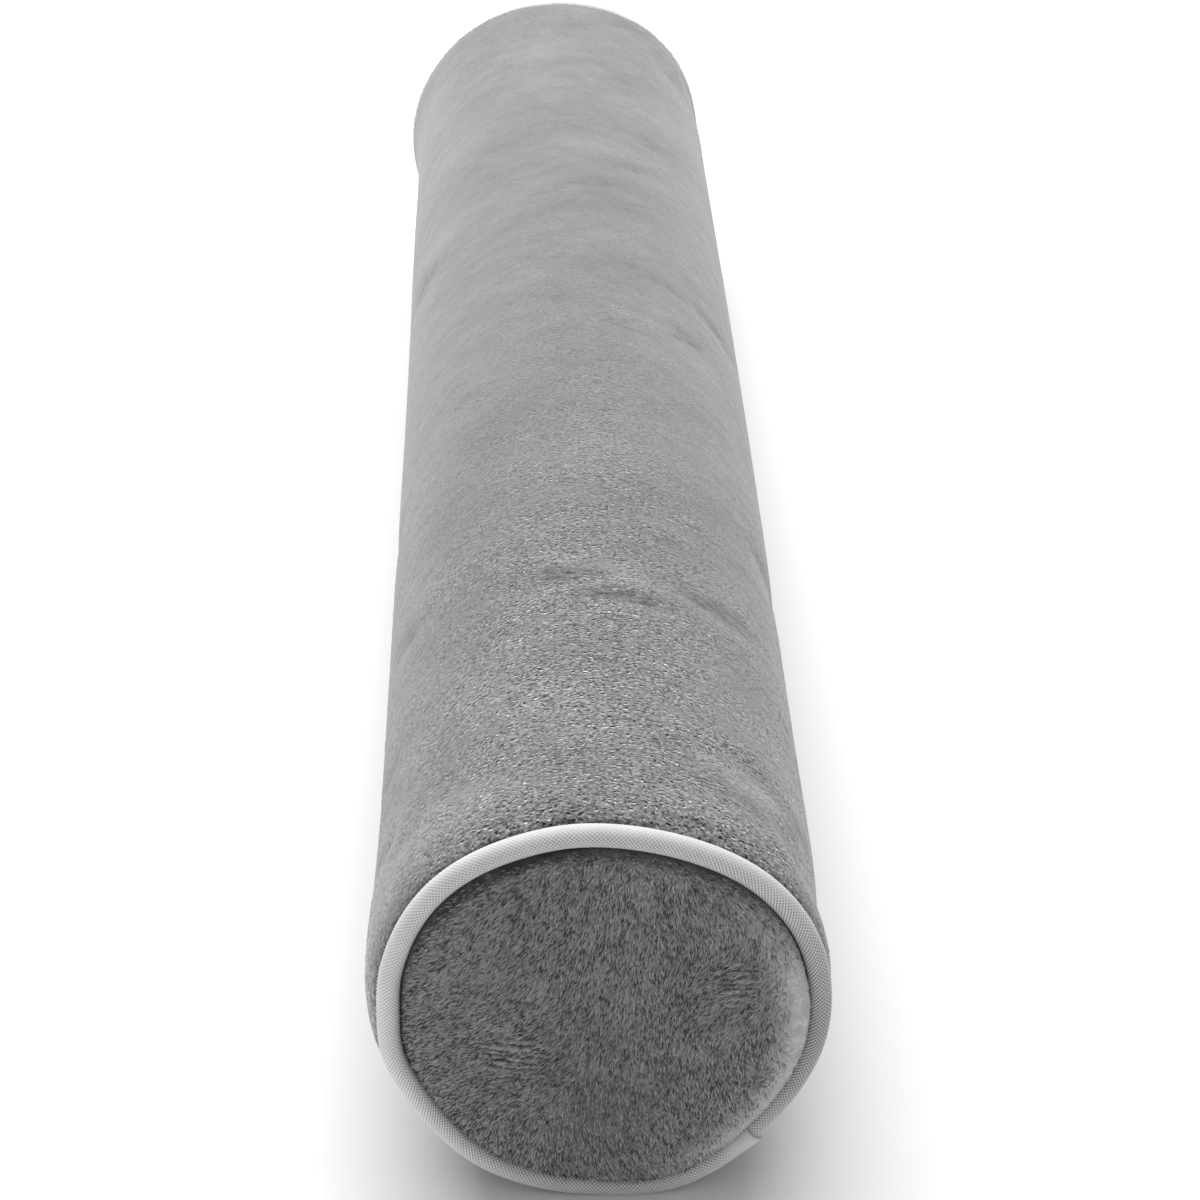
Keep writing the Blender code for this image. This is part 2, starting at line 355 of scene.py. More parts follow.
def settle_on(piece, wanted, skipped):
    """Moves the filled tube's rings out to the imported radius, and keeps the small waves of the filling."""
    points = read_points(piece.data)
    first = skipped * wanted.shape[1]
    last = first + wanted.size
    along, around, radius = place_on_roll(points[first:last])
    gap = (wanted.ravel() - radius).reshape(wanted.shape)
    slow = smooth_rings(gap, 24)
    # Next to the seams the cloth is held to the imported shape.
    behind = along.reshape(wanted.shape)
    held = np.clip((0.018 - np.minimum(behind, SEAM_SPACING - behind)) / 0.008, 0.0, 1.0)
    slow += (gap - slow) * held
    points[first:last] = on_roll(along, around, radius + slow.ravel())
    write_points(piece.data, points)


def subdivide(piece, levels):
    """Rounds the piece's mesh and leaves no modifier on it."""
    modifier = piece.modifiers.new("rounding", "SUBSURF")
    modifier.levels = levels
    modifier.render_levels = levels
    bpy.context.view_layer.update()
    seen = piece.evaluated_get(bpy.context.evaluated_depsgraph_get())
    mesh = bpy.data.meshes.new_from_object(seen)
    piece.modifiers.remove(modifier)
    old = piece.data
    piece.data = mesh
    name = old.name
    bpy.data.meshes.remove(old)
    mesh.name = name


def add_node(tree, kind, settings=None, **links):
    """Adds a node, sets its properties, and links or sets its inputs by name (spaces as _)."""
    node = tree.nodes.new(kind)
    for name, value in (settings or {}).items():
        setattr(node, name, value)
    for name, value in links.items():
        key = int(name[1:]) if name[0] == "n" and name[1:].isdigit() else name.replace("_", " ")
        socket = node.inputs[key]
        if isinstance(value, bpy.types.NodeSocket):
            tree.links.new(value, socket)
        else:
            socket.default_value = value
    return node


def new_material(name):
    material = bpy.data.materials.new(name)
    material.use_nodes = True
    tree = material.node_tree
    return material, tree, tree.nodes["Principled BSDF"]


def shade(tree, colour, factor, low, high):
    """The colour times a number that goes from low to high as the factor goes from 0 to 1."""
    scale = add_node(tree, "ShaderNodeMapRange", {"clamp": False}, Value=factor, To_Min=low, To_Max=high)
    return vector_maths(tree, "SCALE", colour, scale.outputs[0])


def maths(tree, operation, first, second):
    """What a math node makes of two numbers."""
    return add_node(tree, "ShaderNodeMath", {"operation": operation}, n0=first, n1=second).outputs[0]


def vector_maths(tree, operation, vector, other):
    """What a vector math node makes of a vector and another, or a number where it scales."""
    inputs = {"Scale": other} if operation == "SCALE" else {"n1": other}
    return add_node(tree, "ShaderNodeVectorMath", {"operation": operation}, n0=vector, **inputs).outputs[0]


def noise_at(tree, place, scale, detail, roughness=0.5, output=0):
    """A noise pattern of the material, from 0 to 1."""
    return add_node(
        tree, "ShaderNodeTexNoise", Vector=place, Scale=scale, Detail=detail, Roughness=roughness
    ).outputs[output]


def kept_value(tree, name, output="Fac"):
    """What store() kept on the mesh, read in a material."""
    return add_node(tree, "ShaderNodeAttribute", {"attribute_name": name}).outputs[output]


def finish_cloth(shader, roughness, specular, sheen, sheen_roughness):
    """Sets how matt the cloth is, and how it shines where it is seen edge on."""
    shader.inputs["Roughness"].default_value = roughness
    shader.inputs["Specular IOR Level"].default_value = specular
    shader.inputs["Sheen Weight"].default_value = sheen
    shader.inputs["Sheen Roughness"].default_value = sheen_roughness


def pitted(tree, place, open_pile):
    """Small pits of open pile, in half of the cells of a Voronoi pattern, as a factor from 0 to 1."""
    cells = add_node(tree, "ShaderNodeTexVoronoi", Vector=place, Scale=1080.0).outputs
    near = add_node(
        tree, "ShaderNodeMapRange", Value=cells["Distance"],
        From_Min=0.21, From_Max=0.38, To_Min=1.0, To_Max=0.0,
    ).outputs[0]
    kept = add_node(tree, "ShaderNodeSeparateColor", Color=cells["Color"]).outputs[0]
    kept = add_node(tree, "ShaderNodeMapRange", Value=kept, From_Min=0.34, From_Max=0.60).outputs[0]
    return maths(tree, "MULTIPLY", maths(tree, "MULTIPLY", near, kept), open_pile)


def plush_material(name, hex_colour, sheen, rough, ragged):
    """Short-pile polyester plush, knitted and sheared: matt, lighter where it is seen edge on.

    rough says how far its grain shows, and ragged how torn its brushed places look.
    """
    material, tree, shader = new_material(name)
    place = add_node(tree, "ShaderNodeTexCoord").outputs["Object"]
    stretched = add_node(tree, "ShaderNodeMapping", Vector=place, Scale=(1.0, 1.4, 1.0)).outputs[0]
    # Broad soft clouds, 40 mm wide, where the pile leans this way or that, and patches of 6 mm by 4 mm.
    clouds = noise_at(tree, stretched, 26.0, 4.0, 0.6)
    patches = noise_at(tree, stretched, 150.0, 3.0, 0.6)
    # The pile's own grain, drawn at 1 mm, which is coarser than the fibres.
    grain = noise_at(tree, place, 900.0, 2.0)
    # Gaps between tufts, every 1.6 mm.
    tufts = add_node(tree, "ShaderNodeTexVoronoi", Vector=place, Scale=620.0).outputs["Distance"]
    # Open pile over the rows of the knitted ground, every 0.9 mm or so: each pit is drawn dark, as painted
    # shade, with a painted highlight just before it.
    open_pile = kept_value(tree, "grain")
    rows = add_node(tree, "ShaderNodeMapping", Vector=place, Scale=(0.75, 1.3, 0.75)).outputs[0]
    waver = vector_maths(tree, "SCALE", noise_at(tree, place, 700.0, 1.0, output="Color"), 0.0012)
    rows = vector_maths(tree, "ADD", rows, waver)
    pit = pitted(tree, rows, open_pile)
    tip_highlight = pitted(tree, vector_maths(tree, "ADD", rows, (0.0, 0.00045, 0.0)), open_pile)
    specks = maths(tree, "SUBTRACT", noise_at(tree, rows, 1500.0, 1.0), 0.5)
    specks = maths(tree, "MULTIPLY", specks, open_pile)
    # A brushed patch is ragged, in tufts of 2 mm.
    torn = add_node(
        tree, "ShaderNodeMapRange", Value=noise_at(tree, stretched, 420.0, 3.0, 0.6),
        From_Min=0.38, From_Max=0.62, To_Min=1.0 - ragged, To_Max=1.0 + ragged,
    ).outputs[0]
    # The stored darkness holds brush strokes and also painted light and shade.
    brushed = maths(tree, "MULTIPLY", kept_value(tree, "brushed"), torn)
    tint = linear(hex_colour)[:3]
    for factor, low, high in (
        (clouds, 0.66, 1.34),
        (patches, 0.84, 1.16),
        (grain, 1.0 - 0.20 * rough, 1.0 + 0.20 * rough),
        (tufts, 1.0 + 0.08 * rough, 1.0 - 0.14 * rough),
        (specks, 1.0, 4.6),
        # painted highlight before each pit, and painted shade in it:
        (tip_highlight, 1.0, 2.7),
        (pit, 1.0, 0.0),
        (brushed, 1.0, 0.0),
    ):
        tint = shade(tree, tint, factor, low, high)
    tree.links.new(tint, shader.inputs["Base Color"])
    bumps = add_node(tree, "ShaderNodeBump", Height=patches, Strength=0.35, Distance=0.0012).outputs[0]
    bumps = add_node(
        tree, "ShaderNodeBump", Height=grain, Strength=0.6 * rough, Distance=0.0006, Normal=bumps
    ).outputs[0]
    bumps = add_node(
        tree, "ShaderNodeBump", {"invert": True}, Height=pit, Strength=1.0, Distance=0.0005, Normal=bumps
    ).outputs[0]
    tree.links.new(bumps, shader.inputs["Normal"])
    finish_cloth(shader, 0.95, 0.15, sheen, 0.45)
    return material


def pile_material(name, hex_colour, sheen):
    """The tips of the pile: matt polyester fibre in bundles, which catch light on their sides."""
    material, _, shader = new_material(name)
    shader.inputs["Base Color"].default_value = linear(hex_colour)
    finish_cloth(shader, 0.85, 0.2, sheen, 0.4)
    return material


def piping_material(name, hex_colour):
    """A plain-woven polyester strip cut on the bias: threads cross the strip at 45 degrees."""
    material, tree, shader = new_material(name)
    strip = kept_value(tree, "strip", "Vector")
    mottle = noise_at(tree, strip, 160.0, 3.0)
    fuzz = noise_at(tree, strip, 2200.0, 1.0)
    tint = shade(tree, linear(hex_colour)[:3], mottle, 0.92, 1.08)
    tint = shade(tree, tint, fuzz, 0.92, 1.08)
    tint = shade(tree, tint, kept_value(tree, "weave"), -0.20, 1.18)
    tree.links.new(tint, shader.inputs["Base Color"])
    finish_cloth(shader, 0.75, 0.3, 0.15, 0.4)
    return material


def pile_tree():
    """The pile: spikes scattered over a surface, leaning along its brushed direction."""
    tree = bpy.data.node_groups.new("pile", "GeometryNodeTree")
    sockets = tree.interface
    sockets.new_socket("Geometry", in_out="INPUT", socket_type="NodeSocketGeometry")
    for name in ("Density", "Length", "Width", "Lift", "Spread", "Clumping", "Clump size"):
        sockets.new_socket(name, in_out="INPUT", socket_type="NodeSocketFloat")
    sockets.new_socket("Seed", in_out="INPUT", socket_type="NodeSocketInt")
    sockets.new_socket("Material", in_out="INPUT", socket_type="NodeSocketMaterial")
    sockets.new_socket("Geometry", in_out="OUTPUT", socket_type="NodeSocketGeometry")
    given = tree.nodes.new("NodeGroupInput").outputs
    named = "GeometryNodeInputNamedAttribute"
    cover = add_node(tree, named, {"data_type": "FLOAT"}, Name="cover").outputs[0]
    scatter = add_node(
        tree, "GeometryNodeDistributePointsOnFaces", {"distribute_method": "RANDOM"},
        Mesh=given["Geometry"], Density=maths(tree, "MULTIPLY", given["Density"], cover), Seed=given["Seed"],
    ).outputs
    # What is left of the brushed direction along the surface
    nap = add_node(tree, named, {"data_type": "FLOAT_VECTOR"}, Name="nap").outputs[0]
    nap = vector_maths(tree, "SUBTRACT", nap, vector_maths(tree, "PROJECT", nap, scatter["Normal"]))
    rise = vector_maths(tree, "SCALE", scatter["Normal"], given["Lift"])
    wave_scale = maths(tree, "DIVIDE", 1.0, given["Clump size"])
    wave = add_node(tree, "ShaderNodeTexNoise", Scale=wave_scale, Detail=2.0).outputs["Color"]
    swing = vector_maths(tree, "SUBTRACT", wave, (0.5, 0.5, 0.5))
    swing = vector_maths(tree, "SCALE", swing, given["Clumping"])
    stray = add_node(
        tree, "FunctionNodeRandomValue", {"data_type": "FLOAT_VECTOR"},
        n0=(-1.0, -1.0, -1.0), n1=(1.0, 1.0, 1.0), Seed=given["Seed"],
    ).outputs[0]
    stray = vector_maths(tree, "SCALE", stray, given["Spread"])
    lean = nap
    for part in (rise, swing, stray):
        lean = vector_maths(tree, "ADD", lean, part)
    turn = add_node(tree, "FunctionNodeAlignRotationToVector", {"axis": "Z"}, Vector=lean).outputs[0]
    spike = add_node(
        tree, "GeometryNodeMeshCone", {"fill_type": "NGON"}, Vertices=3, Side_Segments=1, Fill_Segments=1,
        Radius_Top=0.0, Radius_Bottom=maths(tree, "MULTIPLY", given["Width"], 0.5), Depth=given["Length"],
    ).outputs[0]
    size = add_node(
        tree, "FunctionNodeRandomValue", {"data_type": "FLOAT"}, n2=0.6, n3=1.3, Seed=given["Seed"]
    ).outputs[1]
    sink = vector_maths(tree, "SCALE", scatter["Normal"], -0.00015)
    roots = add_node(tree, "GeometryNodeSetPosition", Geometry=scatter["Points"], Offset=sink).outputs[0]
    spikes = add_node(
        tree, "GeometryNodeInstanceOnPoints", Points=roots, Instance=spike, Rotation=turn, Scale=size
    ).outputs[0]
    made = add_node(tree, "GeometryNodeRealizeInstances", Geometry=spikes).outputs[0]
    made = add_node(tree, "GeometryNodeSetMaterial", Geometry=made, Material=given["Material"]).outputs[0]
    add_node(tree, "NodeGroupOutput", Geometry=made)
    return tree


def grow_pile(name, skin, tree, material, cover, **inputs):
    """Pile over a skin, as a mesh of its own; cover is its share of the full density at each point."""
    ground = add_piece(name + "_ground", skin.copy())
    store(ground.data, "cover", cover)
    modifier = ground.modifiers.new("pile", "NODES")
    modifier.node_group = tree
    inputs["Material"] = material
    for socket in tree.interface.items_tree:
        key = socket.name.replace(" ", "_")
        if socket.in_out == "INPUT" and key in inputs:
            modifier[socket.identifier] = inputs.pop(key)
    if inputs:
        raise RuntimeError(f"the pile has no input named {sorted(inputs)}")
    bpy.context.view_layer.update()
    seen = ground.evaluated_get(bpy.context.evaluated_depsgraph_get())
    mesh = bpy.data.meshes.new_from_object(seen)
    old = ground.data
    bpy.data.objects.remove(ground)
    bpy.data.meshes.remove(old)
    if len(mesh.polygons) == 0:
        raise RuntimeError(f"no pile grew on {name}")
    mesh.name = name
    for attribute in ("nap", "cover", "brushed", "grain"):
        if attribute in mesh.attributes:
            mesh.attributes.remove(mesh.attributes[attribute])
    return add_piece(name, mesh)


def turned_to_light(end, points):
    """Where the rim of the near panel is drawn lighter, as painted sheen: its right and lower right."""
    _, around, radius = place_on_roll(points)
    if end.side < 0:
        return np.zeros(len(points))
    band = np.clip((radius - 0.0350) / 0.0060, 0.0, 1.0)
    return band * np.clip(1.7 * bell(turn_from(around, 108.0), 76.0), 0.0, 1.0)


def under_piping(end, points):
    """Where the rim of the near panel lies in the piping's shade, on top."""
    _, around, radius = place_on_roll(points)
    if end.side < 0:
        return np.zeros(len(points))
    return np.clip((radius - 0.0420) / 0.0012, 0.0, 1.0) * bell(turn_from(around, -8.0), 88.0)


def ripple_at(end, points):
    """How strongly the pile lies in ripples at each point of a panel, and the wave of the ripples there."""
    across = (points[:, 0] - AXIS_X) * end.side
    up = points[:, 2] - AXIS_Z
    share = np.zeros(len(points))
    if end.side < 0:
        return share, share
    for ripple in NEAR_RIPPLES:
        reach = np.hypot((across - ripple.across) / ripple.wide, (up - ripple.up) / ripple.high)
        share = np.maximum(share, bell(reach, 1.0))
    broken = clouds_at(points, (0.006, 0.006, 0.0025), 8)
    bent = up + 0.0018 * broken + 0.05 * across
    return np.clip(2.6 * share * (0.25 + broken), 0.0, 1.0), np.sin(bent * 2.0 * math.pi / RIPPLE_PITCH)


def panel_nap(points, end, brushes):
    """The brushed direction at each point of an end panel, along its face."""
    across = (points[:, 0] - AXIS_X) * end.side
    up = points[:, 2] - AXIS_Z
    lean = np.zeros((len(points), 2))
    for brush in brushes:
        share = np.exp(-0.5 * ((across - brush.across) ** 2 + (up - brush.up) ** 2) / brush.reach**2) + 1e-6
        share *= (0.014 / brush.reach) ** 2
        direction = math.radians(brush.direction)
        lean += share[:, None] * np.array((math.cos(direction), math.sin(direction)))
    lean /= np.linalg.norm(lean, axis=1, keepdims=True)
    share, _ = ripple_at(end, points)
    lean = lean * (1.0 - share[:, None]) + share[:, None] * np.array((-1.0, -0.1))
    return np.stack((lean[:, 0] * end.side, np.zeros(len(points)), lean[:, 1]), axis=-1)


def tube_nap(points):
    """The pile of the tube lies towards its near end, and turns aside in slow waves."""
    along, around, _ = place_on_roll(points)
    turn = np.radians(around)
    aside = 0.45 * np.sin(along * 61.0 + 1.3 * np.sin(turn * 2.0)) + 0.35 * np.sin(along * 143.0 + turn * 3.0)
    return np.stack((aside * np.cos(turn), -np.ones(len(points)), -aside * np.sin(turn)), axis=-1)


def ruffled_shade_share(along, around):
    """Where the pile right behind the near piping on top stands ruffled, and is drawn darker, as painted
    shade.
    """
    return bell(along - 0.006, 0.007) * (0.25 + 0.75 * bell(around, 70.0))


def strokes_and_painted_light(along, around, points):
    """How dark, and how deep, the brush strokes leave each place of the tube; how dark also holds the painted
    light and shade below.
    """
    dark, deep = np.zeros_like(along), np.zeros_like(along)
    ragged = clouds_at(points, (0.0045, 0.0022, 0.0045), 5)
    for stroke in STROKES:
        turn = math.radians(stroke.turn)
        behind = along - stroke.along
        aside = np.radians(turn_from(around, stroke.around)) * ROLL_RADIUS
        lengthways = behind * math.cos(turn) + aside * math.sin(turn)
        sideways = aside * math.cos(turn) - behind * math.sin(turn)
        wide = math.radians(stroke.wide) * ROLL_RADIUS
        inside = bell(lengthways, 1.5 * stroke.long) * bell(sideways, 1.5 * wide)
        # The pile beside a stroke leans the other way and looks lighter.
        beside = bell(lengthways - 1.8 * stroke.long, 1.6 * stroke.long) * bell(sideways, 1.6 * wide)
        dark += stroke.dark * (1.05 * inside * (0.1 + 2.0 * ragged) - 0.45 * beside)
        deep += 0.45 * stroke.deep * inside * (0.4 + 1.2 * ragged)
    # Right behind the near piping on top the tube is drawn darker, as painted shade.
    dark += 0.07 * ruffled_shade_share(along, around) * (0.4 + 1.4 * ragged)
    # The tube is drawn a little darker towards its near end and lighter at its far end: painted shade and
    # light, as more light falls on its far end.
    dark += 0.07 * bell(along - 0.11, 0.15) - 0.06 * np.clip((along - 0.36) / 0.10, 0.0, 1.0)
    # The left shoulder, next to the near seam, is drawn lighter, as painted light.
    dark -= 0.55 * bell(along - 0.006, 0.04) * bell(turn_from(around, -88.0), 38.0)
    return dark, deep


def open_pile_share(along, around):
    """How open the pile of the tube stands, and so how strongly its grain, painted pit shade and painted
    highlights show: most on top near the near end.
    """
    ahead = 1.0 / (1.0 + (np.maximum(along, 0.0) / 0.15) ** 3)
    on_top = 0.46 + 0.54 * bell(around, 74.0)
    return 0.02 + 0.98 * ahead * on_top


def weave_tint(end, around, outwards, crossing, ease):
    """How light each point of a piping strip is: its threads cross where crossing is 1, with gaps between."""
    stretched_and_painted_shade = bell(turn_from(around, 98.0), 60.0)[:, None] if end.side > 0 else 0.0
    painted_light_left = bell(turn_from(around, -100.0), 100.0)[:, None] if end.side > 0 else 0.0
    # The outer half is drawn with fainter gaps between its threads, as a painted highlight that washes them
    # out; at the right, where the strip is stretched, they show more.
    clear = ease * (1.0 - 0.6 * (1.0 - stretched_and_painted_shade) * np.clip(outwards + 0.2, 0.0, 1.0))
    weave = 1.0 - (0.5 - 0.5 * crossing) ** 1.8 * clear * (1.0 + 0.45 * stretched_and_painted_shade) - 0.26 * (1.0 - clear)
    # The left of the near strip is drawn lighter, as painted light, and its right darker, as painted shade.
    return np.clip(weave + 0.12 * painted_light_left - 0.10 * stretched_and_painted_shade, 0.05, 1.0)


class RollSettings(PropertyGroup):
    """Sizes and colours of the plush."""

    plush_colour: StringProperty(name="Plush", description="sRGB hex colour of the plush", default="7F7F7F")
    sides: IntProperty(name="Sides", description="Points around the tube before rounding", default=108)
    station: FloatProperty(
        name="Station", description="Distance between rings of the tube", default=0.0036, unit="LENGTH"
    )
    pressure: FloatProperty(name="Pressure", description="Pressure of the filling", default=4.0)
    room: FloatProperty(
        name="Room", description="How far the filling may push the cloth", default=0.0016, unit="LENGTH"
    )


class PileSettings(PropertyGroup):
    """The short pile of the plush."""

    tip_colour: StringProperty(
        name="Tips", description="sRGB hex colour of the pile's tips", default="B6B6B6"
    )
    root_colour: StringProperty(
        name="Roots", description="sRGB hex colour of its darker tufts", default="4A4A4A"
    )
    calm_colour: StringProperty(
        name="Calm", description="sRGB hex colour of calmly brushed pile", default="6B6B6B"
    )
    # The pile at the near panel's right rim is drawn in this lighter colour, as painted sheen.
    painted_sheen_colour: StringProperty(
        name="Turned", description="sRGB hex colour of the pile that is turned to the light", default="CACACA"
    )
    tube_colour: StringProperty(
        name="Tube", description="sRGB hex colour of the pile on the tube", default="9C9C9C"
    )
    gap_colour: StringProperty(name="Gaps", description="sRGB hex colour of its dark tufts", default="5C5C5C")
    panel_density: FloatProperty(
        name="Panel density", description="Tufts on a square metre of the near panel", default=4.0e6
    )
    panel_length: FloatProperty(
        name="Panel length", description="Length of the pile on the panels", default=0.0012, unit="LENGTH"
    )


class PipingSettings(PropertyGroup):
    """Sizes and colours of the piping."""

    colour: StringProperty(name="Strip", description="sRGB hex colour of the strip", default="EAEAEA")
    crossings: IntProperty(
        name="Crossings", description="Crossings of the weave along the strip", default=320
    )
    rows: IntProperty(name="Rows", description="Crossings of the weave around the cord", default=17)
    relief: FloatProperty(
        name="Weave relief", description="Height of the threads", default=0.00014, unit="LENGTH"
    )


class StageSettings(PropertyGroup):
    """Floor, light and camera."""

    floor_colour: StringProperty(name="Floor", description="sRGB hex colour of the floor", default="F4F4F4")
    overhead: FloatProperty(
        name="Overhead", description="Power of the overhead light", default=36.0, unit="POWER"
    )
    surround: FloatProperty(name="Surround", description="Strength of the light from all round", default=0.43)


class NeckRollSettings(PropertyGroup):
    """Everything that a user would change."""

    roll: PointerProperty(type=RollSettings)
    pile: PointerProperty(type=PileSettings)
    piping: PointerProperty(type=PipingSettings)
    stage: PointerProperty(type=StageSettings)


class NECKROLL_OT_stage(Operator):
    """Adds the floor, the light and the camera"""

    bl_idname = "neckroll.stage"
    bl_label = "Stage"

    def execute(self, context):
        settings = context.scene.neck_roll.stage
        context.scene.view_settings.view_transform = "Standard"
        camera = bpy.data.objects.new("camera", bpy.data.cameras.new("camera"))
        camera.data.lens = 93.6
        camera.data.sensor_width = 36.0
        camera.location = (-0.0155, -0.7970, 0.4569)
        camera.rotation_euler = (math.radians(60.37), 0.0, math.radians(-1.70))
        context.scene.collection.objects.link(camera)
        context.scene.camera = camera

        half = 3.0
        mesh = bpy.data.meshes.new("floor")
        mesh.from_pydata(
            [(-half, -half, 0.0), (half, -half, 0.0), (half, half, 0.0), (-half, half, 0.0)],
            [],
            [(0, 1, 2, 3)],
        )
        floor = add_piece("floor", mesh)
        material, _, shader = new_material("matt_paper")
        shader.inputs["Base Color"].default_value = linear(settings.floor_colour)
        shader.inputs["Roughness"].default_value = 0.9
        shader.inputs["Specular IOR Level"].default_value = 0.1
        mesh.materials.append(material)

        softbox = bpy.data.lights.new("softbox", "AREA")
        softbox.shape = "RECTANGLE"
        softbox.size = 1.8
        softbox.size_y = 1.8
        softbox.energy = settings.overhead
        lamp = bpy.data.objects.new("softbox", softbox)
        lamp.location = (-0.12, 0.50, 1.35)
        lamp.rotation_euler = (math.radians(-17.0), math.radians(-6.0), 0.0)
        context.scene.collection.objects.link(lamp)

        world = context.scene.world or bpy.data.worlds.new("surround")
        context.scene.world = world
        world.use_nodes = True
        background = world.node_tree.nodes["Background"]
        background.inputs["Color"].default_value = (1.0, 1.0, 1.0, 1.0)
        background.inputs["Strength"].default_value = settings.surround
        return {"FINISHED"}


class NECKROLL_OT_barrel(Operator):
    """Makes the filled plush tube"""

    bl_idname = "neckroll.barrel"
    bl_label = "Barrel"

    def execute(self, context):
        settings = context.scene.neck_roll.roll
        stations = tube_stations(settings.station)
        around = np.arange(settings.sides) * 360.0 / settings.sides
        radii = packed_radii(stations, around) - TUBE_PILE_HEIGHT
        from_end = np.minimum(stations, SEAM_SPACING - stations)[:, None]
        start = radii - UNFILLED * np.minimum(1.0, from_end / 0.02)
        rings = on_roll(stations[:, None], around[None, :], start)
        caps = [0.3, 0.6, 0.85]
        near_caps = [on_roll(stations[0], around, start[0] * share) for share in caps]
        far_caps = [on_roll(stations[-1], around, start[-1] * share) for share in caps]
        rings = np.concatenate((near_caps, rings, far_caps[::-1]))
        piece = add_piece("plush_barrel", ring_mesh("plush_barrel", rings))
        along, _, _ = place_on_roll(read_points(piece.data))
        held = (np.minimum(along, SEAM_SPACING - along) < TUBE_FACE + 0.0008).astype(float)
        puff_up(piece, held, settings.pressure, settings.room, stretch=0.012)
        settle_on(piece, radii, len(caps))
        subdivide(piece, 1)
        points = read_points(piece.data)
        along, angle, radius = place_on_roll(points)
        dark, deep = strokes_and_painted_light(along, angle, points)
        points = on_roll(along, angle, radius - deep)
        points[:, 2] = np.maximum(points[:, 2], 0.0)
        write_points(piece.data, points)
        # This darkness holds the brush strokes and also painted light and shade.
        store(piece.data, "brushed", dark)
        cloud = clouds_at(points, (0.020, 0.009, 0.020), 7)
        # Where the pile is brushed down, its pits close.
        smoothed = np.clip(1.25 - 2.2 * dark, 0.4, 1.0)
        open_share = np.minimum(open_pile_share(along, angle) * (0.55 + 1.3 * cloud), 1.0)
        store(piece.data, "grain", open_share * smoothed)
        piece.data.materials.append(plush_material("short_pile_plush", settings.plush_colour, 0.35, 0.4, 0.5))
        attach(piece, "root")
        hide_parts("barrel")
        return {"FINISHED"}


class NECKROLL_OT_end_panels(Operator):
    """Makes the domed round panel of each end"""

    bl_idname = "neckroll.end_panels"
    bl_label = "End panels"

    def execute(self, context):
        settings = context.scene.neck_roll.roll
        material = plush_material("brushed_pile_plush", settings.plush_colour, 0.3, 1.0, 0.15)
        for end, bulge in ((NEAR, NEAR_BULGE), (FAR, FAR_BULGE)):
            self.make(end, bulge, material)
        return {"FINISHED"}

    def make(self, end, bulge, material):
        around = np.arange(96) * 3.75
        over = np.interp(around, [row.around for row in bulge], [row.over for row in bulge])
        rim = PANEL_RIM_RADIUS + seam_out(end, around)
        rows = []
        for share in 1.0 - (1.0 - np.linspace(0.04, 1.0, 26)) ** 2:
            puffed = (1.0 - share**PANEL_FLATNESS) ** (1.0 / PANEL_ROUNDNESS)
            height = PANEL_RIM_FRONT + (PANEL_RIM_RISE - PANEL_PILE_HEIGHT) * puffed
            height += PANEL_CROWN * (1.0 - share**2)
            # The bulge leans out at the height of the piping's front, and tucks in below it.
            level = min(1.0, max(0.0, (height - PANEL_RIM_FRONT) / PANEL_RIM_RISE))
            lean = math.sin(math.pi * level) ** 0.7 * share**4 if share > 0.5 else 0.0
            width = rim - 1.3 * PANEL_PILE_HEIGHT * min(1.0, max(0.0, height / 0.0015))
            rows.append((share * width + over * lean, height))
        # Behind its rim the cloth tucks in, and a flat back closes it.
        rows += [(rim - 0.0001, -0.0016), (rim - 0.0006, -0.0024)]
        rows += [(share * rim, PANEL_BACK) for share in (0.8, 0.5, 0.2)]
        rings = np.array([on_roll(end.seam - end.side * height, around, radius) for radius, height in rows])
        if end.side < 0:
            rings = rings[::-1]
        piece = add_piece("plush_panel_" + end.name, ring_mesh("plush_panel_" + end.name, rings))
        points = read_points(piece.data)
        along, _, radius = place_on_roll(points)
        forward = (end.seam - along) * end.side
        held = ((forward < 0.0) | (radius > PANEL_RIM_RADIUS - 0.001)).astype(float)
        puff_up(piece, held, 3.0, 0.0008)
        subdivide(piece, 2 if end.side > 0 else 1)
        points = read_points(piece.data)
        share, wave = ripple_at(end, points)
        points[:, 1] -= end.side * RIPPLE_RELIEF * share * wave
        write_points(piece.data, points)
        # The rim in the piping's shade is drawn darker, as painted shade, and the right and lower right of
        # the rim lighter, as painted sheen.
        painted_shade_and_sheen = 0.6 * under_piping(end, points) - 1.2 * turned_to_light(end, points)
        # The ripples are drawn lighter on their crests and darker in their troughs, as painted light and
        # shade.
        store(piece.data, "brushed", painted_shade_and_sheen - 0.40 * share * wave)
        store(piece.data, "grain", np.full(len(points), 0.15))
        piece.data.materials.append(material)
        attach(piece, "root")
        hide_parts("end_panel_" + end.name)


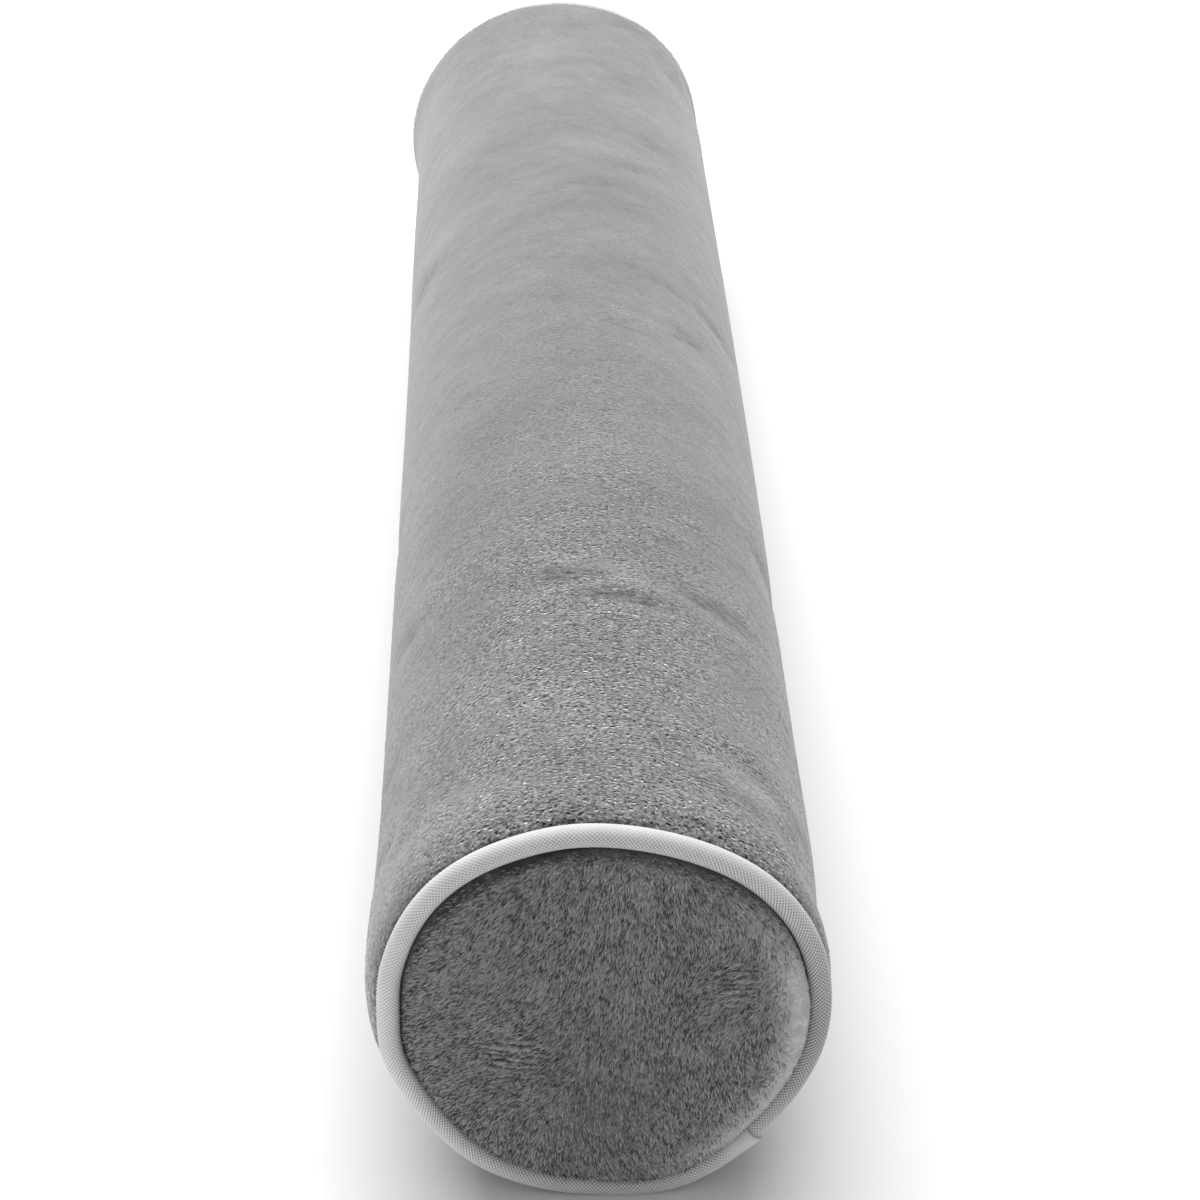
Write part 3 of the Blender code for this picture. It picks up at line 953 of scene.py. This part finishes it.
class NECKROLL_OT_pile(Operator):
    """Grows the short pile of the tube and of the end panels"""

    bl_idname = "neckroll.pile"
    bl_label = "Pile"

    def execute(self, context):
        settings = context.scene.neck_roll.pile
        tree = pile_tree()
        materials = {}
        for name, colour, sheen in (
            ("tips", settings.tip_colour, 0.4),
            ("roots", settings.root_colour, 0.2),
            ("calm", settings.calm_colour, 0.3),
            ("on_tube", settings.tube_colour, 0.5),
            ("in_gaps", settings.gap_colour, 0.1),
            ("turned_to_light", settings.painted_sheen_colour, 0.6),
        ):
            materials[name] = pile_material("pile_" + name, colour, sheen)
        for end, brushes, share in ((NEAR, NEAR_BRUSHES, 1.0), (FAR, FAR_BRUSHES, 0.6)):
            density = settings.panel_density * share
            self.cover_panel(end, brushes, density, settings.panel_length, tree, materials)
        self.cover_tube(tree, materials)
        return {"FINISHED"}

    def cover_panel(self, end, brushes, density, length, tree, materials):
        skin = bpy.data.objects["plush_panel_" + end.name].data
        points = read_points(skin)
        store(skin, "nap", panel_nap(points, end, brushes))
        along, _, _ = place_on_roll(points)
        front = np.clip(((end.seam - along) * end.side - 0.0006) / 0.0010, 0.0, 1.0)
        # Where the rim is drawn lighter, as painted sheen.
        turned = turned_to_light(end, points)
        patch = 0.5 * clouds_at(points, (0.014, 0.014, 0.014), 2)
        patch += 0.5 * clouds_at(points, (0.004, 0.004, 0.004), 6)
        # Light tufts grow more on the ripples' crests and dark ones in their troughs, as painted light and
        # shade.
        rippled, wave = ripple_at(end, points)
        crest = (1.0 - 0.45 * rippled) * (1.0 + 0.9 * rippled * wave)
        trough = (1.0 - 0.45 * rippled) * (1.0 - 0.9 * rippled * wave)
        # The middle and the bottom of the near panel are brushed calmer.
        reach = np.hypot((points[:, 0] - AXIS_X) / 0.020, (points[:, 2] - AXIS_Z + 0.014) / 0.026)
        calm = 0.7 * bell(reach, 1.3)
        # Fewer light tufts grow in the piping's shade, as painted shade.
        lit = 1.0 - under_piping(end, points)
        for kind, material, seed, longer, lift, cover in (
            ("light", "tips", 11, 1.0, 0.45, lit * (1.0 - calm) * (1.0 - turned) * (0.5 + patch) * crest),
            ("dark", "roots", 23, 1.0, 0.45, (1.0 - calm) * (1.0 - turned) ** 3 * (1.5 - patch) * trough),
            # Calm tufts soften the edge of the painted sheen; the lighter tufts below are painted sheen.
            ("calm", "calm", 31, 1.0, 0.40, 1.5 * calm * (1.0 - turned) + 2.0 * (turned * (1.0 - turned))),
            ("turned", "turned_to_light", 37, 0.8, 0.22, 1.8 * turned**1.5),
        ):
            if cover.any():
                piece = grow_pile(
                    f"panel_pile_{kind}_{end.name}", skin, tree, materials[material], front * cover,
                    Density=density, Length=length * longer, Width=0.00029,
                    Lift=lift, Spread=0.35, Clumping=1.9, Clump_size=0.0018, Seed=seed,
                )
                self.finish(piece)

    def cover_tube(self, tree, materials):
        skin = bpy.data.objects["plush_barrel"].data
        points = read_points(skin)
        store(skin, "nap", tube_nap(points))
        along, around, _ = place_on_roll(points)
        from_end = np.minimum(along, SEAM_SPACING - along)
        off_seam = np.clip((from_end - 0.0031) / 0.001, 0.0, 1.0)
        cloud = 0.6 * clouds_at(points, (0.035, 0.014, 0.035), 3)
        cloud += 0.4 * clouds_at(points, (0.012, 0.006, 0.012), 4)
        ahead = np.clip((0.21 - along) / 0.02, 0.0, 1.0)
        ruffled = ruffled_shade_share(along, around)
        tips = 0.4 + 1.2 * cloud
        # Behind the near piping on top more dark tufts grow, as painted shade.
        gaps = 0.3 * open_pile_share(along, around) + 0.9 * ruffled
        for kind, material, seed, density, length, width, lift, cover in (
            ("near_light", "on_tube", 51, 0.62e6, 0.0007, 0.0003, 0.20, ahead * (tips + ruffled)),
            ("near_dark", "in_gaps", 52, 0.60e6, 0.0006, 0.0003, 0.30, ahead * gaps),
            ("far", "on_tube", 53, 0.16e6, 0.0007, 0.00032, 0.20, (1.0 - ahead) * tips),
        ):
            piece = grow_pile(
                f"tube_pile_{kind}", skin, tree, materials[material], off_seam * cover,
                Density=density, Length=length, Width=width,
                Lift=lift, Spread=0.25, Clumping=1.1, Clump_size=0.004, Seed=seed,
            )
            self.finish(piece)
        # At the far end the pile hangs over the piping.
        store(skin, "nap", np.tile((0.0, 1.0, 0.0), (len(points), 1)))
        rim = np.clip((along - SEAM_SPACING + 0.0085) / 0.003, 0.0, 1.0) * (along < SEAM_SPACING - 0.0030)
        piece = grow_pile(
            "tube_pile_far_rim", skin, tree, materials["on_tube"], rim,
            Density=4.0e6, Length=0.0021, Width=0.00036,
            Lift=0.22, Spread=0.14, Clumping=0.4, Clump_size=0.004, Seed=54,
        )
        self.finish(piece)

    def finish(self, piece):
        points = read_points(piece.data)
        points[:, 2] = np.maximum(points[:, 2], 0.0)
        write_points(piece.data, points)
        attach(piece, "root")


class NECKROLL_OT_piping(Operator):
    """Makes the woven bias strip over a cord in each seam"""

    bl_idname = "neckroll.piping"
    bl_label = "Piping"

    def execute(self, context):
        settings = context.scene.neck_roll.piping
        material = piping_material("woven_bias_strip", settings.colour)
        for end in (NEAR, FAR):
            self.make(end, settings, material)
        return {"FINISHED"}

    def make(self, end, settings, material):
        # The weave needs four rings and four points for each crossing; three do for the far strip.
        samples = 4 if end.side > 0 else 3
        turned = np.arange(0.0, 361.2, 360.0 / (settings.crossings * samples))
        fold = (0.0, 0.02, 0.08)
        turned = np.concatenate((fold, turned[1:]))
        around = end.lap_edge + turned
        lapped = np.clip((end.lap_root - around) / (end.lap_root - end.lap_edge), 0.0, 1.0)
        thick = LAP_THICK * lapped * np.interp(turned, (0.0, 0.08, 0.4), (0.2, 0.75, 1.0))
        thick -= 0.00012 * (turned > 359.0)
        thick = thick[:, None]
        sides = settings.rows * samples
        section = np.arange(sides) * 360.0 / sides
        outwards = np.cos(np.radians(section))[None, :]
        forwards = np.sin(np.radians(section))[None, :]
        crossing = np.cos(np.radians(turned) * settings.crossings)[:, None]
        crossing = crossing * np.cos(np.radians(section) * settings.rows)[None, :]
        # The lap's two layers are pressed smooth.
        ease = (0.08 + 0.92 * np.clip(turned / 14.0, 0.0, 1.0) ** 2)[:, None]
        weave = weave_tint(end, around, outwards, crossing, ease)
        # The fold is drawn darker, as a painted shadow line.
        weave[: len(fold)] = 0.5
        radius = PIPING_RADIUS - 0.00008 + settings.relief * crossing * ease
        out = (radius + thick * (outwards > 0.0)) * outwards
        front = (radius + thick * (forwards > 0.0)) * forwards
        ring = (PIPING_RING_RADIUS + seam_out(end, around))[:, None] + out
        rings = on_roll(end.seam - end.side * front, around[:, None], ring)
        if end.side < 0:
            rings = rings[:, ::-1]
        name = "piping_strip_" + end.name
        mesh = ring_mesh(name, rings)
        points = read_points(mesh)
        points[:, 2] = np.maximum(points[:, 2], 0.0)
        write_points(mesh, points)
        order = slice(None, None, -1) if end.side < 0 else slice(None)
        strip = np.zeros(rings.shape)
        strip[..., 0] = np.radians(turned)[:, None] * PIPING_RING_RADIUS
        strip[..., 1] = np.radians(section)[None, order] * PIPING_RADIUS
        poles = strip[[0, -1], 0] * (1.0, 0.0, 0.0)
        store(mesh, "strip", np.concatenate((strip.reshape(-1, 3), poles)))
        store(mesh, "weave", np.concatenate((weave[:, order].ravel(), (0.5, 0.5))))
        piece = add_piece(name, mesh)
        mesh.materials.append(material)
        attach(piece, "root")
        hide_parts("piping_" + end.name)


class NECKROLL_PT_panel(Panel):
    """Lists the pieces and their settings"""

    bl_idname = "NECKROLL_PT_panel"
    bl_label = "Neck roll pillow"
    bl_space_type = "VIEW_3D"
    bl_region_type = "UI"
    bl_category = "Neck roll"

    def draw(self, context):
        settings = context.scene.neck_roll
        for group in (settings.roll, settings.pile, settings.piping, settings.stage):
            box = self.layout.box()
            for name in group.__annotations__:
                box.prop(group, name)
        for operator in OPERATORS:
            self.layout.operator(operator.bl_idname)


OPERATORS = (
    NECKROLL_OT_stage,
    NECKROLL_OT_barrel,
    NECKROLL_OT_end_panels,
    NECKROLL_OT_pile,
    NECKROLL_OT_piping,
)
SETTINGS = (RollSettings, PileSettings, PipingSettings, StageSettings, NeckRollSettings)
CLASSES = SETTINGS + OPERATORS + (NECKROLL_PT_panel,)


def register():
    for cls in CLASSES:
        bpy.utils.register_class(cls)
    bpy.types.Scene.neck_roll = PointerProperty(type=NeckRollSettings)


def unregister():
    del bpy.types.Scene.neck_roll
    for cls in reversed(CLASSES):
        bpy.utils.unregister_class(cls)


def main():
    register()
    bpy.ops.neckroll.stage()
    bpy.ops.neckroll.barrel()
    bpy.ops.neckroll.end_panels()
    bpy.ops.neckroll.pile()
    bpy.ops.neckroll.piping()


if __name__ == "__main__":
    main()
